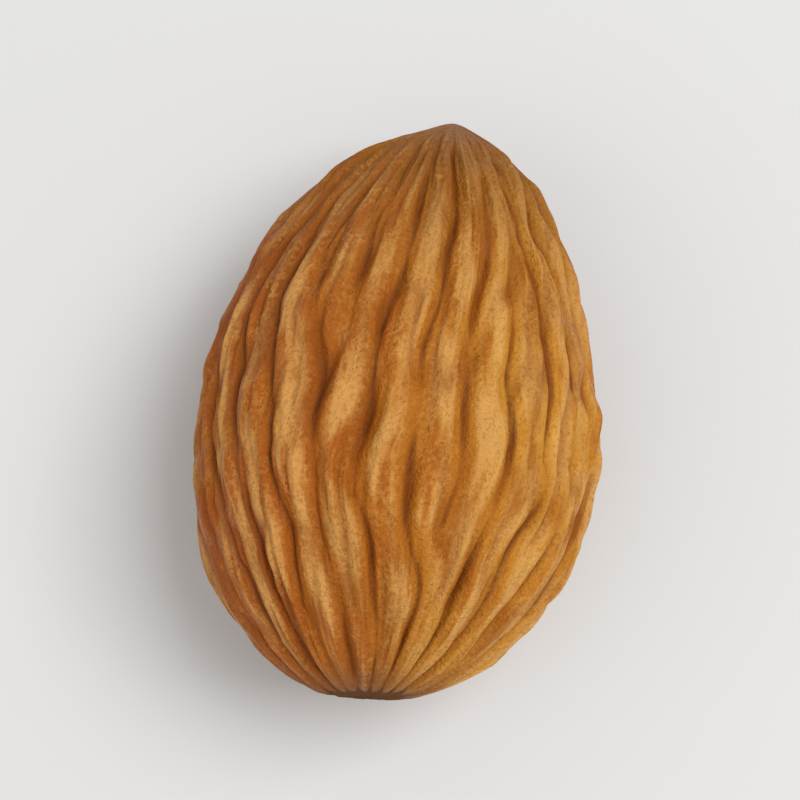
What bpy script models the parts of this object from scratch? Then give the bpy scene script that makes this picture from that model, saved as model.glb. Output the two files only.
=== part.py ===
"""A dried seed of the Chinese bush cherry, lying on its side.

The seed is one closed body in metres, with +Z up and its pointed tip towards
+Y. It is drawn as a grid: rings from tip to base, crossed by columns that
wander with the ribs of the coat. Each ring is an oval, and the whole skin is
then moved along its normal by the height of the coat's relief: ribs that fork
and join, the hilum's line, the raphe and the hollow of the chalaza. The seed
rests on a small flat spot at z = 0, with the origin under the middle of its box.
"""

import math

import bpy
import numpy as np

MM = 0.001

# Driving dimensions, in millimetres
LENGTH = 6.55
WIDTH = 4.33
THICKNESS = 3.82
RIB_DEPTH = 0.085
FLAT_DEPTH = 0.10

# Outline, with places as shares of the length, counted from the tip
WIDEST_AT = 0.60
TIP_SHARPNESS = 0.65
BASE_SHARPNESS = 0.62
NIB_PINCH = 0.25
NIB_LENGTH = 0.04
TIP_BEND = 0.42
BASE_BEND = -0.14
BEND_STARTS_AT = 0.50

# Slow waves, each as (size, waves round the seed, waves along it, start)
LUMPS = ((0.010, 3, 5.0, -1.5), (0.008, 5, -4.0, 0.0))
WANDER = ((0.045, 2, 7.0, 0.0), (0.018, 5, -11.0, 1.0), (0.014, 3, 19.0, 2.0), (0.007, 4, 29.0, 0.5))
STRENGTH_WAVES = ((0.08, 3, 9.0, 2.0), (0.08, 7, -13.0, 2.0), (0.40, 12, 31.0, 1.0))
NET_WAVES = ((0.24, 12, 31.0, 2.5), (0.24, 11, -38.0, 0.0))

# Ribs of the coat: the first forks add ribs towards the middle, and the last ones take some away
RIBS_MEAN = 24
ADDING_FORKS = ((0.12, 0.40), (-1, -1, -1, -1, -1, -1))
MIDDLE_FORKS = ((0.40, 0.68), (1, -1, 1, -1))
JOINING_FORKS = ((0.72, 0.86), (1, 1, 1, 1))
FORK_STRETCH = 2.4
FORK_CALM = 0.10
GOLDEN_ANGLE = math.pi * (3.0 - math.sqrt(5.0))
GROOVE_NARROWNESS = 2.6
MEAN_STRENGTH = 0.85
RIBS_RISE_FROM_TIP = (0.02, 0.20)
RIBS_RISE_FROM_BASE = (0.35, 1.05)

# Marks of the coat, in millimetres, with their angle round the long axis from +X
HILUM_ANGLE = math.radians(160.0)
HILUM_SPAN = (0.07, 0.22)
HILUM_END = 0.03
HILUM_HALF_WIDTH = 0.10
HILUM_DEPTH = 0.09
LIP_OFFSET = 0.20
LIP_HEIGHT = 0.04
RAPHE_HALF_WIDTH = 0.20
RAPHE_HEIGHT = 0.05
RAPHE_ENDS_FROM_BASE = (0.2, 0.6)
CHALAZA_RADIUS = 0.42
CHALAZA_DEPTH = 0.10

# Pose and mesh
TIP_RAISE = math.radians(-3.5)
BELLY_HALF_WIDTH = 0.90
BELLY_HALF_LENGTH = 1.25
POINTS_ROUND = 144
RINGS = 40
END_CROWDING = 0.05
PROFILE_SAMPLES = 2000


def clear_scene():
    """Remove every object that the scene starts with."""
    for found in list(bpy.data.objects):
        bpy.data.objects.remove(found, do_unlink=True)


def smooth_step(span, value):
    """Rise from 0 at the span's start to 1 at its end, level at both."""
    share = np.clip((value - span[0]) / (span[1] - span[0]), 0.0, 1.0)
    return share * share * (3.0 - 2.0 * share)


def bell(distance, width):
    """Fall from 1 at no distance towards 0 past the width."""
    return np.exp(-((distance / width) ** 2))


def wave_sum(waves, along, column):
    """Sum of sine waves that run round and along the seed."""
    return sum(size * np.sin(turns * column + rate * along + start) for size, turns, rate, start in waves)


def radius_share(along):
    """Half-width of the outline as a share of its greatest, tip at 0 and base at 1."""
    tip_side = np.clip(along / WIDEST_AT, 0.0, 1.0)
    base_side = np.clip((1.0 - along) / (1.0 - WIDEST_AT), 0.0, 1.0)
    tip = (1.0 - (1.0 - tip_side) ** 2) ** TIP_SHARPNESS
    base = (1.0 - (1.0 - base_side) ** 2) ** BASE_SHARPNESS
    nib = 1.0 - NIB_PINCH * bell(along, NIB_LENGTH)
    return np.where(along < WIDEST_AT, tip * nib, base)


def ring_stations():
    """Places of the rings from tip to base, even over the outline's own length but closer at its ends."""
    along = 0.5 - 0.5 * np.cos(np.linspace(0.0, math.pi, PROFILE_SAMPLES))
    radius = radius_share(along) * (WIDTH + THICKNESS) / 4.0
    steps = np.hypot(np.diff(along) * LENGTH, np.diff(radius))
    travelled = np.concatenate([[0.0], np.cumsum(steps)])
    share = np.linspace(0.0, 1.0, RINGS + 2)[1:-1]
    share = share - END_CROWDING * np.sin(2.0 * math.pi * share)
    return np.interp(share * travelled[-1], travelled, along)


def smooth_body(along, angle):
    """Points of the seed without its relief, in millimetres, its long axis level."""
    radius = radius_share(along) * (1.0 + wave_sum(LUMPS, along, angle))
    before = np.clip(1.0 - along / BEND_STARTS_AT, 0.0, 1.0)
    after = np.clip((along - BEND_STARTS_AT) / (1.0 - BEND_STARTS_AT), 0.0, 1.0)
    across = TIP_BEND * before**2 + BASE_BEND * after**2 + 0.5 * WIDTH * radius * np.cos(angle)
    lengthways = LENGTH * (0.5 - along) + 0.0 * angle
    upwards = 0.5 * THICKNESS * radius * np.sin(angle)
    return np.stack([across, lengthways, upwards], axis=-1)


def grid_normals(points):
    """Outward unit normals of a grid of rings that closes on itself round the seed."""
    wrapped = np.concatenate([points[:, -1:], points, points[:, :1]], axis=1)
    round_way = wrapped[:, 2:] - wrapped[:, :-2]
    long_way = np.gradient(points, axis=0)
    normal = np.cross(round_way, long_way)
    return normal / np.linalg.norm(normal, axis=-1, keepdims=True)


def ribs_of_coat(along, column):
    """Height of the ribs from -0.5 in a groove to 0.5 on a rib, calmed where they fork.

    The ribs are waves round the seed that two slow waves push together and
    apart. A fork is a point that the waves' phase turns about once, as the
    argument of a complex sine does at its zero, so one more rib passes on one
    side of it than on the other. Each fork lies a golden angle round from the
    one before.
    """
    phase = RIBS_MEAN * column + wave_sum(NET_WAVES, along, column)
    calm = 1.0
    number = 0
    for span, turns in (ADDING_FORKS, MIDDLE_FORKS, JOINING_FORKS):
        for place, turn in zip(np.linspace(span[0], span[1], len(turns)), turns):
            real = 0.5 * (column - number * GOLDEN_ANGLE)
            imaginary = 0.5 * FORK_STRETCH * (along - place)
            sine = np.sin(real) * np.cosh(imaginary) + 1j * np.cos(real) * np.sinh(imaginary)
            phase = phase + turn * np.angle(sine)
            calm = calm * (1.0 - bell(np.abs(sine), FORK_CALM))
            number += 1
    return calm * (0.5 - np.abs(np.cos(0.5 * phase)) ** GROOVE_NARROWNESS)


def angle_from(angle, centre):
    """Angle away from a line along the seed, between minus and plus half a turn."""
    return np.arctan2(np.sin(angle - centre), np.cos(angle - centre))


def relief(along, column, angle):
    """Height of the coat above the smooth body, in millimetres."""
    radius = 0.5 * WIDTH * radius_share(along)
    from_base = np.where(along > WIDEST_AT, radius, WIDTH)
    from_raphe = angle_from(column, HILUM_ANGLE) * radius
    from_belly = angle_from(angle, -0.5 * math.pi) * radius
    belly = bell(from_belly, BELLY_HALF_WIDTH) * bell((along - WIDEST_AT) * LENGTH, BELLY_HALF_LENGTH)
    raphe = bell(from_raphe, RAPHE_HALF_WIDTH) * smooth_step(HILUM_SPAN, along)
    raphe = raphe * smooth_step(RAPHE_ENDS_FROM_BASE, from_base)
    starts = smooth_step((HILUM_SPAN[0] - HILUM_END, HILUM_SPAN[0] + HILUM_END), along)
    ends = smooth_step((HILUM_SPAN[1] - HILUM_END, HILUM_SPAN[1] + HILUM_END), along)
    slot = (starts - ends) * bell(from_raphe, HILUM_HALF_WIDTH)
    lips = (starts - ends) * bell(np.abs(from_raphe) - LIP_OFFSET, HILUM_HALF_WIDTH)
    strength = smooth_step(RIBS_RISE_FROM_TIP, along) * smooth_step(RIBS_RISE_FROM_BASE, from_base)
    strength = strength * (MEAN_STRENGTH + wave_sum(STRENGTH_WAVES, along, column))
    ribs = RIB_DEPTH * strength * (1.0 - raphe) * (1.0 - belly) * ribs_of_coat(along, column)
    marks = RAPHE_HEIGHT * raphe + LIP_HEIGHT * lips - HILUM_DEPTH * slot
    return ribs + marks - CHALAZA_DEPTH * bell(from_base, CHALAZA_RADIUS)


def laid_down(points):
    """Tilt the seed onto its belly, press that flat at z = 0 and centre the footprint."""
    turned = points.copy()
    turned[:, 1] = math.cos(TIP_RAISE) * points[:, 1] - math.sin(TIP_RAISE) * points[:, 2]
    turned[:, 2] = math.sin(TIP_RAISE) * points[:, 1] + math.cos(TIP_RAISE) * points[:, 2]
    turned[:, 2] -= turned[:, 2].min() + FLAT_DEPTH
    turned[:, 2] = np.maximum(turned[:, 2], 0.0)
    turned[:, :2] -= 0.5 * (turned[:, :2].min(axis=0) + turned[:, :2].max(axis=0))
    return turned


def seed_points():
    """All points of the seed: the tip, the rings from tip to base, and the base."""
    along = ring_stations()[:, None]
    column = np.linspace(0.0, 2.0 * math.pi, POINTS_ROUND, endpoint=False)[None, :]
    angle = column + wave_sum(WANDER, along, column)
    body = smooth_body(along, angle)
    rings = body + grid_normals(body) * relief(along, column, angle)[..., None]
    tip = [[TIP_BEND, 0.5 * LENGTH, 0.0]]
    base = [[BASE_BEND, CHALAZA_DEPTH - 0.5 * LENGTH, 0.0]]
    return np.concatenate([tip, rings.reshape(-1, 3), base])


def seed_faces():
    """Quads between the rings, and a fan of triangles at each end."""
    here = np.arange(POINTS_ROUND)
    after = (here + 1) % POINTS_ROUND
    last = 1 + (RINGS - 1) * POINTS_ROUND
    faces = np.stack([0 * here, 1 + after, 1 + here], axis=1).tolist()
    for near in range(1, last, POINTS_ROUND):
        far = near + POINTS_ROUND
        faces += np.stack([near + here, near + after, far + after, far + here], axis=1).tolist()
    base = 0 * here + last + POINTS_ROUND
    faces += np.stack([base, last + here, last + after], axis=1).tolist()
    return faces


def coat_material():
    """Satin orange-brown of the dry coat."""
    material = bpy.data.materials.new("seed_coat")
    material.use_nodes = True
    shader = material.node_tree.nodes["Principled BSDF"]
    shader.inputs["Base Color"].default_value = (0.42, 0.17, 0.035, 1.0)
    shader.inputs["Roughness"].default_value = 0.5
    shader.inputs["Metallic"].default_value = 0.0
    return material


def build_seed():
    """Make the seed's object in the scene."""
    mesh = bpy.data.meshes.new("seed")
    mesh.from_pydata((laid_down(seed_points()) * MM).tolist(), [], seed_faces())
    mesh.update()
    mesh.shade_smooth()
    mesh.materials.append(coat_material())
    seed = bpy.data.objects.new("seed", mesh)
    bpy.context.scene.collection.objects.link(seed)


clear_scene()
build_seed()
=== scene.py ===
"""Looks of one dried Chinese bush cherry seed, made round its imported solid.

The seed grew as one piece, so it is one skin here too. The skin repeats the
solid's outline and ribs on a finer grid and adds what a faceted solid can't
hold: sharp bottoms of the grooves, the fine ridges, wrinkles, creases and veins
of the dry coat, the hilum's slit and the pitted scar in the base. Lengths in
the classes of the seed are millimetres, and the studio's are metres.
"""

import logging
import math
from dataclasses import dataclass
from enum import Enum

import bpy
import numpy as np
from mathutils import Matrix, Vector


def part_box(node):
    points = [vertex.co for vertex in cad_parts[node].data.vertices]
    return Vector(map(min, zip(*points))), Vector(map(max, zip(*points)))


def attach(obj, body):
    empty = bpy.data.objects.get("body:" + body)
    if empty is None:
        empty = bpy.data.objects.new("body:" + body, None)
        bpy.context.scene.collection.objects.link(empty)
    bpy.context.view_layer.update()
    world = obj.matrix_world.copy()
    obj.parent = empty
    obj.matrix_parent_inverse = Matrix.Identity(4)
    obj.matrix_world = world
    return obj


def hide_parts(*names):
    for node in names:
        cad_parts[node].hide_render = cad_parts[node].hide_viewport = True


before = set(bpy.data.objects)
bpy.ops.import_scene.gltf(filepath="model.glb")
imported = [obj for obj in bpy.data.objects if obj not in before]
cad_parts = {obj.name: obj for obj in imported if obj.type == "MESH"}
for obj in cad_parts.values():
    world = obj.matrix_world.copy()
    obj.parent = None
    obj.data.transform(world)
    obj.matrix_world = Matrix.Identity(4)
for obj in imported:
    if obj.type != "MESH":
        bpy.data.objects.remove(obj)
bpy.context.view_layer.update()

Array = np.ndarray
Colour = tuple[float, float, float]
Cell = tuple[float, float, float]
Span = tuple[float, float]

LOG = logging.getLogger("seed")
FULL_TURN = 2.0 * math.pi
GOLDEN_ANGLE = math.pi * (3.0 - math.sqrt(5.0))


class Mask(Enum):
    """Attributes of the skin that its material reads."""

    RIB = "rib"
    CREASE = "crease"
    VEIN = "vein"
    HILUM = "hilum"
    RAPHE = "raphe"
    CHALAZA = "chalaza"
    TIP = "tip"
    RIM = "base_rim"
    GRAIN = "grain_place"


def smooth_step(low: float, high: float, value: Array) -> Array:
    """Rise from 0 at low to 1 at high, level at both: 3 s^2 - 2 s^3 of the share s."""
    share = np.clip((value - low) / (high - low), 0.0, 1.0)
    return share * share * (3.0 - 2.0 * share)


def bell(distance: Array, width: float) -> Array:
    """Fall from 1 at no distance: e to the minus squared distance over width."""
    return np.exp(-((distance / width) ** 2))


def angle_from(angle: Array, centre: float) -> Array:
    """Angle away from a line along the seed, between minus and plus half a turn."""
    return np.arctan2(np.sin(angle - centre), np.cos(angle - centre))


@dataclass(frozen=True)
class Wave:
    """A sine wave over the coat: size times the sine of turns round plus rate along."""

    size: float
    turns: int
    rate: float
    start: float

    def at(self, along: Array, column: Array) -> Array:
        """Height of the wave at places along the seed and angles round it."""
        return self.size * np.sin(self.turns * column + self.rate * along + self.start)


def wave_sum(waves: tuple[Wave, ...], along: Array, column: Array) -> Array:
    """Sum of several waves at the same places."""
    return sum(wave.at(along, column) for wave in waves)


@dataclass(frozen=True)
class LatticeNoise:
    """Smooth random values in space, drawn once for the corners of a repeating lattice."""

    seed: int
    cells: int = 32
    layer_shift: float = 7.3

    def at(self, places: Array) -> Array:
        """Read the noise at places in space.

        The eight corners round each place are weighed by the smooth step of its
        share of the cell along each axis.

        Args:
            places: Points in lattice cells, with x, y and z on the last axis.

        Returns:
            Values from -1 to 1, one for each point.
        """
        table = np.random.default_rng(self.seed).uniform(-1.0, 1.0, (self.cells,) * 3)
        corner = np.floor(places).astype(int)
        share = places - corner
        share = share * share * (3.0 - 2.0 * share)
        value = np.zeros(places.shape[:-1])
        for step in np.ndindex(2, 2, 2):
            x, y, z = np.moveaxis((corner + step) % self.cells, -1, 0)
            weight = np.prod(np.where(np.array(step) == 1, share, 1.0 - share), axis=-1)
            value += weight * table[x, y, z]
        return value

    def layered(self, places: Array, layers: int) -> Array:
        """Sum of layers of the noise, each twice as fine and half as strong as the last."""
        numbers = range(layers)
        return sum(0.5**n * self.at(places * 2.0**n + self.layer_shift * n) for n in numbers)


@dataclass(frozen=True)
class Grid:
    """Where the points of the skin are, in the terms that its relief is told in.

    Attributes:
        along: Places along the seed, tip at 0 and base at 1, a column.
        column: Angles of the grid's columns, a row.
        angle: True angles round the long axis, from the side the tip bends to.
        body: Points of the smooth body.
        radius: Half-width of the outline, a column.
        from_base: Distance from the middle of the base, and far on the tip's side.
        grain: Places on an unrolled tube that follows the ribs.
    """

    along: Array
    column: Array
    angle: Array
    body: Array
    radius: Array
    from_base: Array
    grain: Array


@dataclass(frozen=True)
class Outline:
    """The seed without its relief, along from tip at 0 to base at 1."""

    length: float = 6.55
    width: float = 4.33
    thickness: float = 3.82
    widest_at: float = 0.60
    tip_sharpness: float = 0.65
    base_sharpness: float = 0.62
    nib_pinch: float = 0.25
    nib_length: float = 0.04
    tip_bend: float = 0.42
    base_bend: float = -0.14
    bend_starts_at: float = 0.50
    lumps: tuple[Wave, ...] = (Wave(0.010, 3, 5.0, -1.5), Wave(0.008, 5, -4.0, 0.0))
    end_crowding: float = 0.05
    profile_samples: int = 4000

    def radius_share(self, along: Array) -> Array:
        """Half-width as a share of the greatest.

        From either end to the widest place it is one minus the squared share
        left to go, to a power over a half, so both ends are sharper than an
        ellipse's. The last of the tip is pinched into a nib.

        Args:
            along: Places along the seed.

        Returns:
            Shares from 0 to 1.
        """
        tip_side = np.clip(along / self.widest_at, 0.0, 1.0)
        base_side = np.clip((1.0 - along) / (1.0 - self.widest_at), 0.0, 1.0)
        tip = (1.0 - (1.0 - tip_side) ** 2) ** self.tip_sharpness
        base = (1.0 - (1.0 - base_side) ** 2) ** self.base_sharpness
        nib = 1.0 - self.nib_pinch * bell(along, self.nib_length)
        return np.where(along < self.widest_at, tip * nib, base)

    def stations(self, rings: int) -> Array:
        """Places of the rings, even over the outline's own length but closer at its ends."""
        along = 0.5 - 0.5 * np.cos(np.linspace(0.0, math.pi, self.profile_samples))
        radius = self.radius_share(along) * (self.width + self.thickness) / 4.0
        steps = np.hypot(np.diff(along) * self.length, np.diff(radius))
        travelled = np.concatenate([[0.0], np.cumsum(steps)])
        share = np.linspace(0.0, 1.0, rings + 2)[1:-1]
        share = share - self.end_crowding * np.sin(FULL_TURN * share)
        return np.interp(share * travelled[-1], travelled, along)

    def points(self, along: Array, angle: Array) -> Array:
        """Points of the smooth body.

        Each ring is an oval of the outline's half-width, swollen a little by the
        lumps, and its centre follows two parabolas that bend the ends sideways.

        Args:
            along: Places along the seed, a column.
            angle: Angles round the long axis, from the side the tip bends to.

        Returns:
            Points with the tip towards +Y.
        """
        radius = self.radius_share(along) * (1.0 + wave_sum(self.lumps, along, angle))
        before = np.clip(1.0 - along / self.bend_starts_at, 0.0, 1.0)
        after = np.clip((along - self.bend_starts_at) / (1.0 - self.bend_starts_at), 0.0, 1.0)
        centre = self.tip_bend * before**2 + self.base_bend * after**2
        across = centre + 0.5 * self.width * radius * np.cos(angle)
        lengthways = self.length * (0.5 - along) + 0.0 * angle
        upwards = 0.5 * self.thickness * radius * np.sin(angle)
        return np.stack([across, lengthways, upwards], axis=-1)

    def unrolled(self, along: Array, column: Array) -> Array:
        """Places on a tube that follows the ribs: the column's cosine and sine, and the length."""
        radius = 0.5 * self.width
        across = radius * np.cos(column) + 0.0 * along
        lengthways = self.length * along + 0.0 * column
        upwards = radius * np.sin(column) + 0.0 * along
        return np.stack([across, lengthways, upwards], axis=-1)


@dataclass(frozen=True)
class ForkGroup:
    """Forks at even steps along the seed.

    Attributes:
        start: Place of the first fork.
        end: Place of the last fork.
        turns: For each fork, -1 where it adds a rib towards the base and 1
            where it takes one away.
    """

    start: float
    end: float
    turns: tuple[int, ...]


@dataclass(frozen=True)
class Ribs:
    """Ribs of the coat: waves round the seed that wander, fork and join."""

    mean_count: int = 24
    depth: float = 0.085
    groups: tuple[ForkGroup, ...] = (
        ForkGroup(0.12, 0.40, (-1, -1, -1, -1, -1, -1)),
        ForkGroup(0.40, 0.68, (1, -1, 1, -1)),
        ForkGroup(0.72, 0.86, (1, 1, 1, 1)),
    )
    fork_stretch: float = 2.4
    fork_calm: float = 0.05
    groove_narrowness: float = 2.6
    valley_share: float = 0.50
    valley_sharpness: float = 2.0
    rise_from_tip: Span = (0.02, 0.20)
    rise_from_base: Span = (0.35, 1.05)
    wander: tuple[Wave, ...] = (
        Wave(0.045, 2, 7.0, 0.0),
        Wave(0.018, 5, -11.0, 1.0),
        Wave(0.014, 3, 19.0, 2.0),
        Wave(0.007, 4, 29.0, 0.5),
    )
    net: tuple[Wave, ...] = (Wave(0.24, 12, 31.0, 2.5), Wave(0.24, 11, -38.0, 0.0))
    mean_strength: float = 0.85
    strength_waves: tuple[Wave, ...] = (
        Wave(0.08, 3, 9.0, 2.0),
        Wave(0.08, 7, -13.0, 2.0),
        Wave(0.40, 12, 31.0, 1.0),
    )

    def phase(self, grid: Grid) -> tuple[Array, Array]:
        """Phase of the ribs, one turn from rib to rib, and its calm round the forks.

        A fork is a point that the phase turns about once, as the argument of a
        complex sine does at its zero, so one more rib passes on one side.

        Args:
            grid: Places of the skin's points.

        Returns:
            The phase, and a factor that falls to 0 at each fork.
        """
        phase = self.mean_count * grid.column + wave_sum(self.net, grid.along, grid.column)
        calm = np.ones_like(phase)
        number = 0
        for group in self.groups:
            for place, turn in zip(np.linspace(group.start, group.end, len(group.turns)), group.turns):
                real = 0.5 * (grid.column - number * GOLDEN_ANGLE)
                imaginary = 0.5 * self.fork_stretch * (grid.along - place)
                sine = np.sin(real) * np.cosh(imaginary) + 1j * np.cos(real) * np.sinh(imaginary)
                phase = phase + turn * np.angle(sine)
                calm = calm * (1.0 - bell(np.abs(sine), self.fork_calm))
                number += 1
        return phase, calm

    def groove(self, phase: Array) -> Array:
        """Depth of the grooves from 0 on a rib to 1 in a valley.

        A power of the cosine's size makes the broad groove, and a power of one
        minus the sine's size adds the sharp line at its bottom.

        Args:
            phase: Phase of the ribs.

        Returns:
            Depths from 0 to 1.
        """
        broad = np.abs(np.cos(0.5 * phase)) ** self.groove_narrowness
        sharp = (1.0 - np.abs(np.sin(0.5 * phase))) ** self.valley_sharpness
        return (1.0 - self.valley_share) * broad + self.valley_share * sharp

    def rise(self, grid: Grid) -> Array:
        """Factor that lets the ribs rise from nothing at both ends."""
        from_tip = smooth_step(*self.rise_from_tip, grid.along)
        return from_tip * smooth_step(*self.rise_from_base, grid.from_base)

    def strength(self, grid: Grid) -> Array:
        """Height of the ribs as a share of the full one, changed by waves round and along the seed."""
        waves = wave_sum(self.strength_waves, grid.along, grid.column)
        return self.rise(grid) * (self.mean_strength + waves)


@dataclass(frozen=True)
class FineCoat:
    """Relief too fine for the solid: ridges in the ribs, crumples, creases, wrinkles and veins."""

    ridge_depth: float = 0.024
    ridges_in_rib: int = 3
    ridge_drift: Wave = Wave(1.6, 6, 21.0, 0.7)
    ridge_evenness: float = 0.55
    crumple_depth: float = 0.030
    crumple_cell: Cell = (0.36, 0.62, 0.36)
    crumple_layers: int = 3
    crumple_noise: LatticeNoise = LatticeNoise(11)
    crease_depth: float = 0.048
    crease_cell: Cell = (0.26, 0.95, 0.26)
    crease_width: float = 0.26
    crease_gaps: Span = (-0.50, 0.25)
    crease_gap_shift: float = 5.5
    crease_at_ends: float = 0.3
    crease_noise: LatticeNoise = LatticeNoise(12)
    slow_cell: Cell = (0.55, 0.80, 0.55)
    pit_swing: float = 0.195
    pit_contrast: float = 1.8
    pit_noise: LatticeNoise = LatticeNoise(13)
    vein_depth: float = 0.030
    vein_sharpness: float = 8.0
    vein_gaps: Span = (-0.45, 0.20)
    vein_gap_shift: float = 2.5
    vein_rise_from_tip: Span = (0.03, 0.15)
    vein_noise: LatticeNoise = LatticeNoise(14)
    wrinkle_depth: float = 0.075
    wrinkle_mean: float = 0.5
    wrinkle_cell: Cell = (0.15, 0.90, 0.15)
    wrinkle_second_rate: float = 2.1
    wrinkle_second_share: float = 0.5
    wrinkle_noise: LatticeNoise = LatticeNoise(15)
    rise_from_tip: Span = (0.0, 0.10)
    rise_from_base: Span = (0.30, 1.75)
    belly_calm: float = 0.7

    def ridges(self, phase: Array, grid: Grid) -> Array:
        """Fine ridges from -0.5 to 0.5: a sharper wave a few times the ribs' phase, drifting across them."""
        drift = self.ridge_drift.at(grid.along, grid.column)
        return 0.5 - np.abs(np.sin(0.5 * (self.ridges_in_rib * phase + drift)))

    def crumples(self, body: Array) -> Array:
        """Shallow folds: layered noise in cells drawn out along the seed."""
        return self.crumple_noise.layered(body / self.crumple_cell, self.crumple_layers)

    def creases(self, grain: Array) -> Array:
        """Sharp lines along the ribs: the narrow bells where stretched noise passes through zero."""
        lines = bell(self.crease_noise.at(grain / self.crease_cell), self.crease_width)
        slow = self.crease_noise.at(grain / self.slow_cell + self.crease_gap_shift)
        return lines * smooth_step(*self.crease_gaps, slow)

    def wrinkles(self, grain: Array) -> Array:
        """Fine wrinkles with sharp bottoms: the size of stretched noise, in two layers."""
        first = np.abs(self.wrinkle_noise.at(grain / self.wrinkle_cell))
        second = np.abs(self.wrinkle_noise.at(self.wrinkle_second_rate * grain / self.wrinkle_cell))
        return first + self.wrinkle_second_share * second

    def veins(self, phase: Array, grain: Array) -> Array:
        """Thin lines at the bottoms of the grooves, broken where a slower noise is low."""
        line = (1.0 - np.abs(np.sin(0.5 * phase))) ** self.vein_sharpness
        slow = self.vein_noise.at(grain / self.slow_cell + self.vein_gap_shift)
        return line * smooth_step(*self.vein_gaps, slow)

    def pits(self, grain: Array) -> Array:
        """Factor about 1 that deepens a groove here and fills it there, by a slow noise."""
        slow = self.pit_contrast * self.pit_noise.at(grain / self.slow_cell)
        return 1.0 + self.pit_swing * np.clip(slow, -1.0, 1.0)

    def relief(
        self, grid: Grid, phase: Array, calm: Array, rib_rise: Array
    ) -> tuple[Array, dict[Mask, Array]]:
        """Sum of the fine relief, calmed towards both ends, where its cells grow narrow.

        Args:
            grid: Places of the skin's points.
            phase: Phase of the ribs.
            calm: Factor that falls to 0 at the ribs' forks.
            rib_rise: Factor that lets the ribs rise from both ends.

        Returns:
            Heights in millimetres, and the masks of the creases and veins.
        """
        crumple = self.crumples(grid.body)
        crease = self.creases(grid.grain)
        evenness = self.ridge_evenness + (1.0 - self.ridge_evenness) * crumple
        ridge = self.ridges(phase, grid) * evenness
        vein = calm * self.veins(phase, grid.grain) * smooth_step(*self.vein_rise_from_tip, grid.along)
        crease_share = self.crease_at_ends + (1.0 - self.crease_at_ends) * rib_rise
        height = self.ridge_depth * ridge * rib_rise + self.crumple_depth * crumple
        height = height - self.crease_depth * crease * crease_share
        height = height + self.wrinkle_depth * (self.wrinkles(grid.grain) - self.wrinkle_mean)
        height = height - self.vein_depth * vein
        rise = smooth_step(*self.rise_from_tip, grid.along)
        rise = rise * smooth_step(*self.rise_from_base, grid.from_base)
        return height * rise, {Mask.CREASE: crease, Mask.VEIN: vein}


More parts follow.
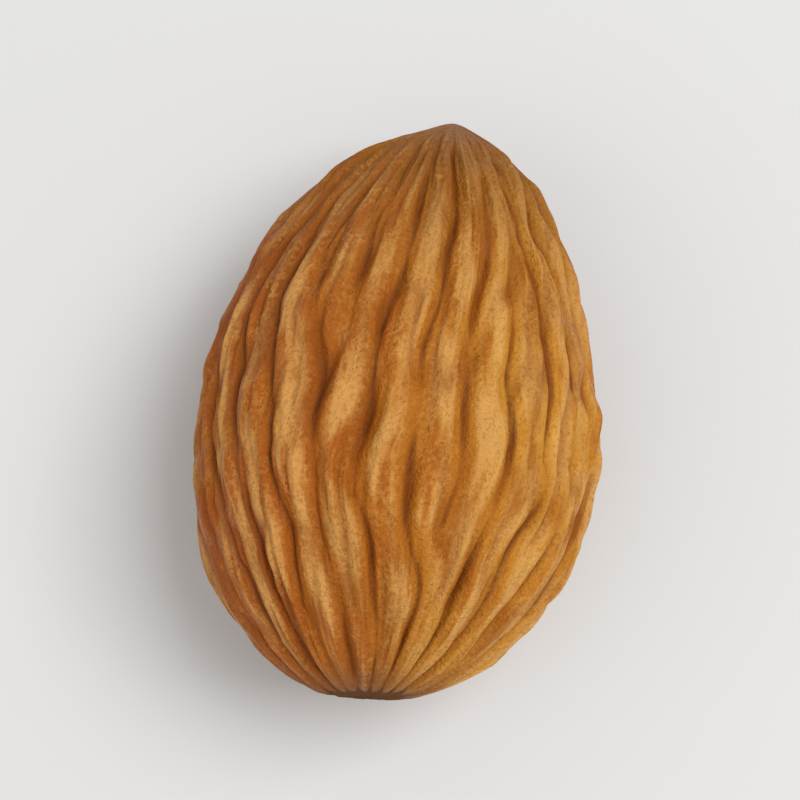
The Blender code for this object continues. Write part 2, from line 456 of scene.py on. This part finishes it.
@dataclass(frozen=True)
class Marks:
    """Scars of the seed: hilum beside the tip, raphe along one edge, chalaza in the base."""

    edge_angle: float = math.radians(160.0)
    hilum_span: Span = (0.07, 0.22)
    hilum_fade: float = 0.03
    hilum_half_width: float = 0.10
    hilum_depth: float = 0.09
    hilum_shade: float = 0.55
    lip_offset: float = 0.20
    lip_height: float = 0.04
    slit_half_width: float = 0.045
    slit_depth: float = 0.045
    slit_raggedness: float = 0.02
    raphe_half_width: float = 0.20
    raphe_height: float = 0.05
    raphe_rise_from_base: Span = (0.2, 0.6)
    hollow_radius: float = 0.42
    hollow_depth: float = 0.10
    hollow_rim_radius: float = 0.52
    hollow_rim_width: float = 0.10
    hollow_rim_height: float = 0.008
    scar_edge: Span = (0.52, 0.38)
    scar_reach: float = 0.14
    scar_raggedness: float = 0.07
    ragged_cell: float = 0.20
    ragged_layers: int = 2
    ragged_noise: LatticeNoise = LatticeNoise(16)
    pit_cell: float = 0.09
    pit_depth: float = 0.012
    pit_layers: int = 2
    pit_noise: LatticeNoise = LatticeNoise(17)
    tip_tint_length: float = 0.23
    rim_tint: Span = (0.93, 1.0)

    def across_edge(self, grid: Grid) -> Array:
        """Distance round the seed from the line of the hilum and the raphe."""
        return angle_from(grid.column, self.edge_angle) * grid.radius

    def hilum_stretch(self, along: Array) -> Array:
        """1 along the hilum and 0 beyond its ends."""
        start, end = self.hilum_span
        starts = smooth_step(start - self.hilum_fade, start + self.hilum_fade, along)
        ends = smooth_step(end - self.hilum_fade, end + self.hilum_fade, along)
        return starts - ends

    def hilum(self, grid: Grid) -> Array:
        """Mask of the hilum's groove: a bell across its line, along its stretch."""
        return bell(self.across_edge(grid), self.hilum_half_width) * self.hilum_stretch(grid.along)

    def raphe(self, grid: Grid) -> Array:
        """Mask of the raphe: a bell across its line, from the hilum to the chalaza."""
        stretch = smooth_step(*self.hilum_span, grid.along)
        stretch = stretch * smooth_step(*self.raphe_rise_from_base, grid.from_base)
        return bell(self.across_edge(grid), self.raphe_half_width) * stretch

    def relief(self, grid: Grid, groove: Array) -> tuple[Array, dict[Mask, Array]]:
        """Sum of the scars' relief.

        The hilum is a groove with a ragged slit in it and a lip on each side.
        The base is a round hollow with a low rim. Its scar is pitted by a fine
        noise and runs out along the grooves.

        Args:
            grid: Places of the skin's points.
            groove: Depth of the coat's grooves, from 0 to 1.

        Returns:
            Heights in millimetres, and the masks of the scars, the tip and the rim.
        """
        across = self.across_edge(grid)
        stretch = self.hilum_stretch(grid.along)
        ragged = self.ragged_noise.layered(grid.body / self.ragged_cell, self.ragged_layers)
        hilum, raphe = self.hilum(grid), self.raphe(grid)
        slit = bell(across + self.slit_raggedness * ragged, self.slit_half_width) * stretch
        lips = bell(np.abs(across) - self.lip_offset, self.hilum_half_width) * stretch
        hollow = bell(grid.from_base, self.hollow_radius)
        rim = bell(grid.from_base - self.hollow_rim_radius, self.hollow_rim_width)
        edge = grid.from_base + self.scar_raggedness * ragged - self.scar_reach * groove
        scar = smooth_step(*self.scar_edge, edge)
        pits = scar * self.pit_noise.layered(grid.body / self.pit_cell, self.pit_layers)
        height = self.raphe_height * raphe + self.lip_height * lips + self.hollow_rim_height * rim
        height = height - self.hilum_depth * hilum - self.slit_depth * slit
        height = height - self.hollow_depth * hollow - self.pit_depth * pits
        masks = {
            Mask.HILUM: np.maximum(slit, self.hilum_shade * hilum),
            Mask.RAPHE: raphe,
            Mask.CHALAZA: scar,
            Mask.TIP: bell(grid.along, self.tip_tint_length),
            Mask.RIM: smooth_step(*self.rim_tint, grid.along),
        }
        return height, masks


@dataclass(frozen=True)
class Skin:
    """The finished surface before it is a mesh."""

    points: Array
    faces: list[list[int]]
    masks: dict[Mask, Array]


@dataclass(frozen=True)
class Seed:
    """The whole seed: one closed skin that stands for the solid's node."""

    outline: Outline
    ribs: Ribs
    fine: FineCoat
    marks: Marks
    node: str = "seed"
    slot: str = "coat"
    flat_depth: float = 0.10
    tip_raise: float = math.radians(-3.5)
    belly_half_width: float = 0.90
    belly_half_length: float = 1.25
    points_round: int = 576
    rings: int = 165

    def grid(self) -> Grid:
        """Lay out the grid: rings from tip to base, and columns that wander with the ribs."""
        outline = self.outline
        along = outline.stations(self.rings)[:, None]
        column = np.linspace(0.0, FULL_TURN, self.points_round, endpoint=False)[None, :]
        angle = column + wave_sum(self.ribs.wander, along, column)
        body = outline.points(along, angle)
        radius = 0.5 * outline.width * outline.radius_share(along)
        from_base = np.where(along > outline.widest_at, radius, outline.width)
        return Grid(along, column, angle, body, radius, from_base, outline.unrolled(along, column))

    def normals(self, points: Array) -> Array:
        """Outward unit normals of a grid of rings: the cross product of its two directions."""
        wrapped = np.concatenate([points[:, -1:], points, points[:, :1]], axis=1)
        round_way = wrapped[:, 2:] - wrapped[:, :-2]
        long_way = np.gradient(points, axis=0)
        normal = np.cross(round_way, long_way)
        return normal / np.linalg.norm(normal, axis=-1, keepdims=True)

    def belly(self, grid: Grid) -> Array:
        """Mask of the belly: a bell round the lowest line, times a bell along it."""
        from_belly = angle_from(grid.angle, -0.5 * math.pi) * grid.radius
        from_middle = (grid.along - self.outline.widest_at) * self.outline.length
        return bell(from_belly, self.belly_half_width) * bell(from_middle, self.belly_half_length)

    def relief(self, grid: Grid) -> tuple[Array, dict[Mask, Array]]:
        """Height of the coat above the smooth body, and the masks that go with it.

        The ribs, calmed at both ends, on the belly and on the raphe, are summed
        with the scars and with the fine coat.

        Args:
            grid: Places of the skin's points.

        Returns:
            Heights in millimetres, and a mask for each mark.
        """
        phase, calm = self.ribs.phase(grid)
        groove = self.ribs.groove(phase)
        belly = self.belly(grid)
        wave = calm * (0.5 - groove * self.fine.pits(grid.grain))
        rib = self.ribs.strength(grid) * (1.0 - self.marks.raphe(grid)) * (1.0 - belly) * wave
        marks_height, marks_masks = self.marks.relief(grid, groove)
        fine_height, fine_masks = self.fine.relief(grid, phase, calm, self.ribs.rise(grid))
        smoothed = (1.0 - self.fine.belly_calm * belly) * (1.0 - self.marks.hilum(grid))
        height = self.ribs.depth * rib + marks_height + fine_height * smoothed
        masks = {Mask.RIB: 0.5 + rib, **fine_masks, **marks_masks}
        return height, {mask: value + 0.0 * grid.angle for mask, value in masks.items()}

    def laid_down(self, points: Array) -> Array:
        """Tilt the seed onto its belly, press that flat and fit the skin to the solid's box.

        The tilt is a turn about X. Points under the surface are lifted to it,
        and each axis is stretched by the last fraction of a percent so that the
        skin's box is the solid's.

        Args:
            points: Points in millimetres, the long axis level.

        Returns:
            Points in metres, in the shared frame.
        """
        turned = points.copy()
        turned[:, 1] = math.cos(self.tip_raise) * points[:, 1] - math.sin(self.tip_raise) * points[:, 2]
        turned[:, 2] = math.sin(self.tip_raise) * points[:, 1] + math.cos(self.tip_raise) * points[:, 2]
        turned[:, 2] = np.maximum(turned[:, 2] - turned[:, 2].min() - self.flat_depth, 0.0)
        low, high = (np.array(corner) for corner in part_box(self.node))
        share = (turned - turned.min(axis=0)) / (turned.max(axis=0) - turned.min(axis=0))
        return low + share * (high - low)

    def skin(self) -> Skin:
        """Work out the seed's surface as one closed grid with a point at each end."""
        grid = self.grid()
        height, masks = self.relief(grid)
        rings = grid.body + self.normals(grid.body) * height[..., None]
        half_length = 0.5 * self.outline.length
        tip = [[self.outline.tip_bend, half_length, 0.0]]
        base = [[self.outline.base_bend, self.marks.hollow_depth - half_length, 0.0]]
        points = self.laid_down(np.concatenate([tip, rings.reshape(-1, 3), base]))
        values = {mask: self.with_ends(value) for mask, value in masks.items()}
        tip_grain, base_grain = [[0.0, 0.0, 0.0]], [[0.0, self.outline.length, 0.0]]
        values[Mask.GRAIN] = np.concatenate([tip_grain, grid.grain.reshape(-1, 3), base_grain])
        return Skin(points, self.faces(), values)

    def with_ends(self, value: Array) -> Array:
        """A grid's values in the points' order, with the mean of the nearest ring at each end."""
        return np.concatenate([[value[0].mean()], value.reshape(-1), [value[-1].mean()]])

    def faces(self) -> list[list[int]]:
        """Quads between the rings, and a fan of triangles at each end."""
        here = np.arange(self.points_round)
        after = (here + 1) % self.points_round
        last = 1 + (self.rings - 1) * self.points_round
        starts = np.arange(1, last, self.points_round)[:, None]
        far = starts + self.points_round
        quads = np.stack([starts + here, starts + after, far + after, far + here], axis=-1)
        tip = np.stack([0 * here, 1 + after, 1 + here], axis=1)
        base = np.stack([0 * here + last + self.points_round, last + here, last + after], axis=1)
        return tip.tolist() + quads.reshape(-1, 4).tolist() + base.tolist()

    def build(self) -> bpy.types.Object:
        """Make the mesh and its attributes, and tie the piece to the frame."""
        skin = self.skin()
        mesh = bpy.data.meshes.new("seed_skin")
        mesh.from_pydata(skin.points.tolist(), [], skin.faces)
        mesh.update()
        mesh.shade_smooth()
        for mask, values in skin.masks.items():
            kind, field = ("FLOAT_VECTOR", "vector") if values.ndim == 2 else ("FLOAT", "value")
            attribute = mesh.attributes.new(mask.value, kind, "POINT")
            attribute.data.foreach_set(field, values.astype(np.float32).ravel())
        piece = bpy.data.objects.new("seed_skin", mesh)
        bpy.context.scene.collection.objects.link(piece)
        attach(piece, "root")
        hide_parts("seed")
        return piece

    def dress(self, piece: bpy.types.Object, finish: "CoatFinish") -> None:
        """Give the skin its coat."""
        piece.data.materials.append(finish.material())


class Graph:
    """Adds nodes to one tree and links them, so that a material reads as a list of steps."""

    def __init__(self, tree: bpy.types.NodeTree) -> None:
        """Keep the tree that the nodes go into."""
        self.tree = tree

    def add(self, kind: str, **settings: object) -> bpy.types.Node:
        """Add one node and set its own properties."""
        node = self.tree.nodes.new(kind)
        for name, value in settings.items():
            setattr(node, name, value)
        return node

    def feed(self, target: bpy.types.NodeSocket, source: object) -> None:
        """Link a socket to another, or set it to a number or a colour."""
        if isinstance(source, bpy.types.NodeSocket):
            self.tree.links.new(source, target)
        elif isinstance(source, tuple) and len(source) == 3 and target.type == "RGBA":
            target.default_value = (*source, 1.0)
        else:
            target.default_value = source

    def maths(self, operation: str, *values: object, clamp: bool = True) -> bpy.types.NodeSocket:
        """Result of one Math node, clamped to 0 and 1 unless told otherwise."""
        node = self.add("ShaderNodeMath", operation=operation, use_clamp=clamp)
        for target, value in zip(node.inputs, values):
            self.feed(target, value)
        return node.outputs[0]

    def span(self, value: object, low: float, high: float) -> bpy.types.NodeSocket:
        """Smooth rise from 0 to 1 as the value goes from low to high."""
        node = self.add("ShaderNodeMapRange", interpolation_type="SMOOTHSTEP")
        self.feed(node.inputs["Value"], value)
        node.inputs["From Min"].default_value = low
        node.inputs["From Max"].default_value = high
        return node.outputs["Result"]

    def mix(self, factor: object, first: object, second: object) -> bpy.types.NodeSocket:
        """Blend of two colours by a factor."""
        node = self.add("ShaderNodeMix", data_type="RGBA")
        colours = [socket for socket in node.inputs if socket.type == "RGBA"]
        self.feed(node.inputs[0], factor)
        self.feed(colours[0], first)
        self.feed(colours[1], second)
        return next(socket for socket in node.outputs if socket.type == "RGBA")

    def cover(self, under: object, tint: Colour, mask: object, share: float) -> bpy.types.NodeSocket:
        """Lay a tint over a colour where a mask is high, hiding at most a share of it."""
        return self.mix(self.maths("MULTIPLY", mask, share), under, tint)

    def noise(self, place: object, scale: object, detail: float, roughness: float) -> bpy.types.NodeSocket:
        """Factor of one Noise Texture."""
        node = self.add("ShaderNodeTexNoise")
        self.feed(node.inputs["Vector"], place)
        self.feed(node.inputs["Scale"], scale)
        node.inputs["Detail"].default_value = detail
        node.inputs["Roughness"].default_value = roughness
        return node.outputs["Fac"]

    def read(self, mask: Mask) -> bpy.types.NodeSocket:
        """Value of one of the skin's attributes."""
        node = self.add("ShaderNodeAttribute", attribute_name=mask.value)
        return node.outputs["Vector" if mask is Mask.GRAIN else "Fac"]

    def put(self, effect: bpy.types.NodeTree, place: object, scale: float) -> bpy.types.Node:
        """Put an effect's group into the tree, with its own place and scale."""
        node = self.add("ShaderNodeGroup", node_tree=effect)
        self.feed(node.inputs["Place"], place)
        self.feed(node.inputs["Scale"], scale)
        return node


@dataclass(frozen=True)
class EffectGroup:
    """A node group that takes a place and a scale, and puts out named values."""

    name: str
    outputs: tuple[str, ...]
    inputs: tuple[tuple[str, str], ...] = (("Place", "NodeSocketVector"), ("Scale", "NodeSocketFloat"))

    def start(self) -> tuple[bpy.types.NodeTree, Graph, bpy.types.Node, bpy.types.Node]:
        """Make the empty group with its sockets.

        Returns:
            The group, a graph on it, and its input and output nodes.
        """
        tree = bpy.data.node_groups.new(self.name, "ShaderNodeTree")
        for name, kind in self.inputs:
            tree.interface.new_socket(name, in_out="INPUT", socket_type=kind)
        for name in self.outputs:
            tree.interface.new_socket(name, in_out="OUTPUT", socket_type="NodeSocketFloat")
        graph = Graph(tree)
        return tree, graph, graph.add("NodeGroupInput"), graph.add("NodeGroupOutput")


@dataclass(frozen=True)
class CoatDust:
    """Dust of the coat: fine grain, and clumps of it where a coarser noise is high."""

    grain_detail: float = 3.0
    grain_roughness: float = 0.7
    grain_span: Span = (0.46, 0.62)
    clump_scale: float = 0.16
    clump_detail: float = 3.0
    clump_roughness: float = 0.6
    clump_span: Span = (0.42, 0.62)

    def group(self) -> bpy.types.NodeTree:
        """Build the group that puts out the grain and its clumps."""
        tree, graph, entry, result = EffectGroup("coat_dust", ("Grain", "Clumps")).start()
        place, scale = entry.outputs["Place"], entry.outputs["Scale"]
        grain = graph.noise(place, scale, self.grain_detail, self.grain_roughness)
        coarse = graph.maths("MULTIPLY", scale, self.clump_scale, clamp=False)
        clump = graph.noise(place, coarse, self.clump_detail, self.clump_roughness)
        fine_share = graph.span(grain, *self.grain_span)
        coarse_share = graph.span(clump, *self.clump_span)
        graph.feed(result.inputs["Grain"], grain)
        graph.feed(result.inputs["Clumps"], graph.maths("MULTIPLY", fine_share, coarse_share))
        return tree


@dataclass(frozen=True)
class CoatFibres:
    """Fibres along the ribs: noise in cells that are drawn out along the seed."""

    squeeze: Cell = (1.0, 0.20, 1.0)
    detail: float = 4.0
    roughness: float = 0.62

    def group(self) -> bpy.types.NodeTree:
        """Build the group that puts out the fibres."""
        tree, graph, entry, result = EffectGroup("coat_fibres", ("Fibres",)).start()
        drawn = graph.add("ShaderNodeVectorMath", operation="MULTIPLY")
        graph.feed(drawn.inputs[0], entry.outputs["Place"])
        drawn.inputs[1].default_value = self.squeeze
        fibres = graph.noise(drawn.outputs[0], entry.outputs["Scale"], self.detail, self.roughness)
        graph.feed(result.inputs["Fibres"], fibres)
        return tree


@dataclass(frozen=True)
class CoatFinish:
    """The dry coat: satin orange-brown, pale on the ribs, dark in the grooves, with painted light and shade
    by side: golden towards the lamp-lit +X side, russet towards the shaded -X side.

    A pair of numbers is the stretch of a value over which a tint comes in, and
    a cover is the greatest share of the colours below that the tint hides.
    """

    body: Colour = (0.47, 0.155, 0.006)
    golden: Colour = (0.61, 0.265, 0.022)
    russet: Colour = (0.37, 0.082, 0.002)
    rib_pale: Colour = (0.74, 0.39, 0.105)
    groove: Colour = (0.28, 0.068, 0.0005)
    tip: Colour = (0.25, 0.083, 0.003)
    rim: Colour = (0.12, 0.045, 0.012)
    vein: Colour = (0.085, 0.020, 0.002)
    scar: Colour = (0.125, 0.044, 0.006)
    dust: Colour = (0.72, 0.38, 0.09)
    # Painted light: golden comes in towards the lamp-lit +X side, a span in metres of X.
    golden_on_lit_side: Span = (-0.0012, 0.0016)
    golden_patches: Span = (0.34, 0.60)
    # Painted shade: russet comes in towards the shaded -X side, a span in metres of X.
    russet_on_shaded_side: Span = (0.0006, -0.0018)
    russet_patches: Span = (0.64, 0.40)
    patches_per_metre: float = 380.0
    patch_detail: float = 3.0
    patch_roughness: float = 0.55
    fibre_share: float = 0.9
    fibre_middle: float = 0.45
    pale_ribs: Span = (0.50, 0.95)
    pale_fibres: Span = (0.36, 0.60)
    pale_cover: float = 0.70
    russet_fibres: Span = (0.50, 0.32)
    russet_cover: float = 0.60
    groove_ribs: Span = (0.46, 0.02)
    groove_cover: float = 0.85
    crease_cover: float = 0.55
    vein_cover: float = 0.75
    tip_cover: float = 0.90
    raphe_cover: float = 0.45
    rim_cover: float = 0.60
    dust_ribs: Span = (0.10, 0.80)
    dust_cover: float = 0.34
    hilum_cover: float = 0.90
    chalaza_cover: float = 0.85
    shade_grain: Span = (0.50, 0.30)
    shade_cover: float = 0.38
    roughness_rib: float = 0.36
    roughness_groove: float = 0.55
    roughness_scar: float = 0.90
    specular_level: float = 0.22
    fibres_per_mm: float = 4.5
    grains_per_metre: float = 20000.0
    grain_height: float = 0.000045

    def material(self) -> bpy.types.Material:
        """Build the coat's material from the skin's attributes and the two effect groups."""
        made = bpy.data.materials.new("seed_coat")
        made.use_nodes = True
        graph = Graph(made.node_tree)
        shader = made.node_tree.nodes["Principled BSDF"]
        place = graph.add("ShaderNodeTexCoord").outputs["Object"]
        dust = graph.put(CoatDust().group(), place, self.grains_per_metre)
        strands = graph.put(CoatFibres().group(), graph.read(Mask.GRAIN), self.fibres_per_mm)
        fibres = strands.outputs["Fibres"]
        graph.feed(shader.inputs["Base Color"], self.colour(graph, place, dust, fibres))
        graph.feed(shader.inputs["Roughness"], self.roughness(graph))
        graph.feed(shader.inputs["Normal"], self.bump(graph, dust.outputs["Grain"], fibres))
        shader.inputs["Specular IOR Level"].default_value = self.specular_level
        return made

    def roughness(self, graph: Graph) -> bpy.types.NodeSocket:
        """Duller in the grooves than on the ribs, and dullest on the base's scar."""
        coat = graph.add("ShaderNodeMapRange")
        graph.feed(coat.inputs["Value"], graph.read(Mask.RIB))
        coat.inputs["To Min"].default_value = self.roughness_groove
        coat.inputs["To Max"].default_value = self.roughness_rib
        scar = graph.maths("MULTIPLY", graph.read(Mask.CHALAZA), self.roughness_scar)
        return graph.maths("MAXIMUM", coat.outputs["Result"], scar)

    def bump(
        self, graph: Graph, grain: bpy.types.NodeSocket, fibres: bpy.types.NodeSocket
    ) -> bpy.types.NodeSocket:
        """Normals of the grain and the fibres, which are finer than the mesh."""
        bump = graph.add("ShaderNodeBump")
        bump.inputs["Strength"].default_value = 1.0
        bump.inputs["Distance"].default_value = self.grain_height
        graph.feed(bump.inputs["Height"], graph.maths("ADD", grain, fibres, clamp=False))
        return bump.outputs["Normal"]

    def patched_with_side_light_and_shade(self, graph: Graph, place: bpy.types.NodeSocket) -> bpy.types.NodeSocket:
        """Broad patches of the body's colour, plus painted light and shade by side: more golden towards the
        lamp-lit +X side, more russet towards the shaded -X side.
        """
        patches = graph.noise(place, self.patches_per_metre, self.patch_detail, self.patch_roughness)
        split = graph.add("ShaderNodeSeparateXYZ")
        graph.feed(split.inputs[0], place)
        side = split.outputs["X"]
        # Painted light and shade by side: X turns the body golden on the lamp-lit side and russet on the
        # shaded side.
        golden = (graph.span(side, *self.golden_on_lit_side), graph.span(patches, *self.golden_patches))
        russet = (graph.span(side, *self.russet_on_shaded_side), graph.span(patches, *self.russet_patches))
        colour = graph.mix(graph.maths("MULTIPLY", *golden), self.body, self.golden)
        return graph.mix(graph.maths("MULTIPLY", *russet), colour, self.russet)

    def colour(
        self,
        graph: Graph,
        place: bpy.types.NodeSocket,
        dust: bpy.types.Node,
        fibres: bpy.types.NodeSocket,
    ) -> bpy.types.NodeSocket:
        """Layer the coat's colours from broad patches, with painted side light and shade, to fine dust.

        Args:
            graph: The material's graph.
            place: Object coordinates, in metres.
            dust: Placed dust group.
            fibres: Value of the fibre group.

        Returns:
            The socket of the finished colour.
        """
        ragged = graph.maths("MULTIPLY_ADD", fibres, self.fibre_share, graph.read(Mask.RIB), clamp=False)
        rib = graph.maths("SUBTRACT", ragged, self.fibre_middle, clamp=False)
        high = graph.span(rib, *self.pale_ribs)
        pale = graph.maths("MULTIPLY", high, graph.span(fibres, *self.pale_fibres))
        dusty = graph.maths("MULTIPLY", dust.outputs["Clumps"], graph.span(rib, *self.dust_ribs))
        layers = (
            (self.rib_pale, pale, self.pale_cover),
            (self.russet, graph.span(fibres, *self.russet_fibres), self.russet_cover),
            (self.groove, graph.span(rib, *self.groove_ribs), self.groove_cover),
            (self.groove, graph.read(Mask.CREASE), self.crease_cover),
            (self.vein, graph.read(Mask.VEIN), self.vein_cover),
            (self.tip, graph.read(Mask.TIP), self.tip_cover),
            (self.russet, graph.read(Mask.RAPHE), self.raphe_cover),
            (self.rim, graph.read(Mask.RIM), self.rim_cover),
            (self.dust, dusty, self.dust_cover),
            (self.scar, graph.read(Mask.HILUM), self.hilum_cover),
            (self.scar, graph.read(Mask.CHALAZA), self.chalaza_cover),
            (self.groove, graph.span(dust.outputs["Grain"], *self.shade_grain), self.shade_cover),
        )
        colour = self.patched_with_side_light_and_shade(graph, place)
        for tint, mask, share in layers:
            colour = graph.cover(colour, tint, mask, share)
        return colour


@dataclass(frozen=True)
class Lamp:
    """One square soft light that faces the seed.

    Attributes:
        name: The light's name.
        azimuth: Where it hangs round the seed, in degrees.
        elevation: How high it hangs, in degrees.
        side: Its side, in metres.
        power: Its power, in watts.
    """

    name: str
    azimuth: float
    elevation: float
    side: float
    power: float


@dataclass(frozen=True)
class Studio:
    """Pale floor, soft lights and the camera, in metres."""

    floor_half: float = 1.5
    floor_drop: float = 0.00002
    floor_colour: Colour = (0.68, 0.685, 0.69)
    floor_roughness: float = 0.7
    world_colour: Colour = (1.0, 0.98, 0.95)
    world_strength: float = 0.58
    lamps: tuple[Lamp, ...] = (
        Lamp("key", 104.0, 63.0, 0.090, 0.162),
        Lamp("fill", -55.0, 45.0, 0.16, 0.034),
    )
    lamp_distance: float = 0.16
    azimuth: float = 3.5
    elevation: float = 80.0
    lens: float = 100.0
    distance: float = 0.024
    clip: Span = (0.001, 10.0)

    def floor(self) -> None:
        """Lay a flat sheet just under the seed, far wider than the view."""
        half, low = self.floor_half, -self.floor_drop
        mesh = bpy.data.meshes.new("floor")
        corners = [(-half, -half, low), (half, -half, low), (half, half, low), (-half, half, low)]
        mesh.from_pydata(corners, [], [(0, 1, 2, 3)])
        sheet = bpy.data.objects.new("floor", mesh)
        bpy.context.scene.collection.objects.link(sheet)
        made = bpy.data.materials.new("floor_pale")
        made.use_nodes = True
        shader = made.node_tree.nodes["Principled BSDF"]
        shader.inputs["Base Color"].default_value = (*self.floor_colour, 1.0)
        shader.inputs["Roughness"].default_value = self.floor_roughness
        mesh.materials.append(made)

    def way(self, azimuth: float, elevation: float) -> Vector:
        """Direction from the seed towards an azimuth and elevation in degrees."""
        turn, rise = math.radians(azimuth), math.radians(elevation)
        return Vector((math.sin(turn) * math.cos(rise), -math.cos(turn) * math.cos(rise), math.sin(rise)))

    def hang(self, lamp: Lamp) -> None:
        """Hang one of the lights at the lamps' distance, facing the seed."""
        data = bpy.data.lights.new(lamp.name, "AREA")
        data.size = lamp.side
        data.energy = lamp.power
        holder = bpy.data.objects.new(lamp.name, data)
        away = self.way(lamp.azimuth, lamp.elevation)
        holder.location = away * self.lamp_distance
        holder.rotation_euler = away.to_track_quat("Z", "Y").to_euler()
        bpy.context.scene.collection.objects.link(holder)

    def world(self) -> None:
        """Set even light from all round, and the standard view of colours."""
        world = bpy.data.worlds.new("studio_world")
        world.use_nodes = True
        background = world.node_tree.nodes["Background"]
        background.inputs["Color"].default_value = (*self.world_colour, 1.0)
        background.inputs["Strength"].default_value = self.world_strength
        bpy.context.scene.world = world
        bpy.context.scene.view_settings.view_transform = "Standard"

    def camera(self) -> None:
        """Look down on the seed as the photograph does."""
        low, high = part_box("seed")
        centre = (Vector(low) + Vector(high)) / 2
        data = bpy.data.cameras.new("camera")
        data.lens = self.lens
        data.clip_start, data.clip_end = self.clip
        holder = bpy.data.objects.new("camera", data)
        away = self.way(self.azimuth, self.elevation)
        holder.location = centre + away * self.distance
        holder.rotation_euler = away.to_track_quat("Z", "Y").to_euler()
        bpy.context.scene.collection.objects.link(holder)
        bpy.context.scene.camera = holder

    def build(self) -> None:
        """Set up floor, lights and camera."""
        self.floor()
        self.world()
        for lamp in self.lamps:
            self.hang(lamp)
        self.camera()


def main() -> None:
    """Build the seed and its studio, and report each piece."""
    logging.basicConfig(level=logging.INFO, format="%(name)s: %(message)s")
    Studio().build()
    seed = Seed(Outline(), Ribs(), FineCoat(), Marks())
    piece = seed.build()
    seed.dress(piece, CoatFinish())
    mesh = piece.data
    LOG.info("%s has %d points and %d faces", piece.name, len(mesh.vertices), len(mesh.polygons))


if __name__ == "__main__":
    main()
